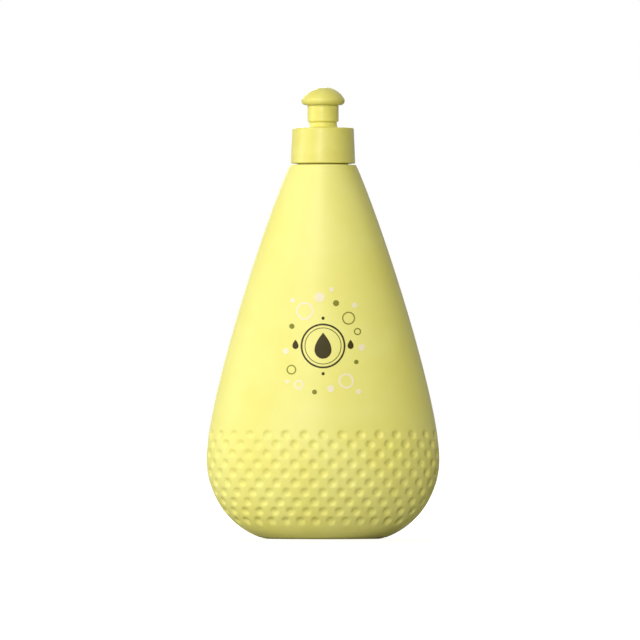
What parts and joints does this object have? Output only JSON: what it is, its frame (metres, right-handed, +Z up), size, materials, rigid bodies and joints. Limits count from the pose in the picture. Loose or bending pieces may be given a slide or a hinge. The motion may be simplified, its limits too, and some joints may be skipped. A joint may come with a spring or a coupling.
{
  "type": "dish soap bottle",
  "caption": "Oval teardrop squeeze bottle with staggered dimples round its base, a screw cap with a spout, and a push-pull top that slides up to open",
  "frame": {"origin": "centre of the foot, on the plane that the bottle stands on", "axes": "+Z up along the axis of the bottle, its cap and its spout; -Y is the broad front; X runs across the broad face and is the parting line of the bottle's mould"},
  "size_m": [0.1154, 0.0692, 0.2239],
  "materials": {
    "bottle_plastic": "satin blow-moulded polyethylene, pale lemon yellow",
    "cap_plastic": "satin injection-moulded polypropylene, pale lemon yellow"
  },
  "bodies": {
    "bottle": {"bottle": "bottle_plastic"},
    "cap": {"cap": "cap_plastic"},
    "pull_top": {"pull_top": "cap_plastic"}
  },
  "joints": [
    {"name": "cap_lift", "type": "slide", "parent": "bottle", "child": "cap", "axis": [0, 0, 1], "range_m": [0, 0.045]},
    {"name": "pull_top_slide", "type": "slide", "parent": "cap", "child": "pull_top", "axis": [0, 0, 1], "range_m": [0, 0.005]}
  ]
}
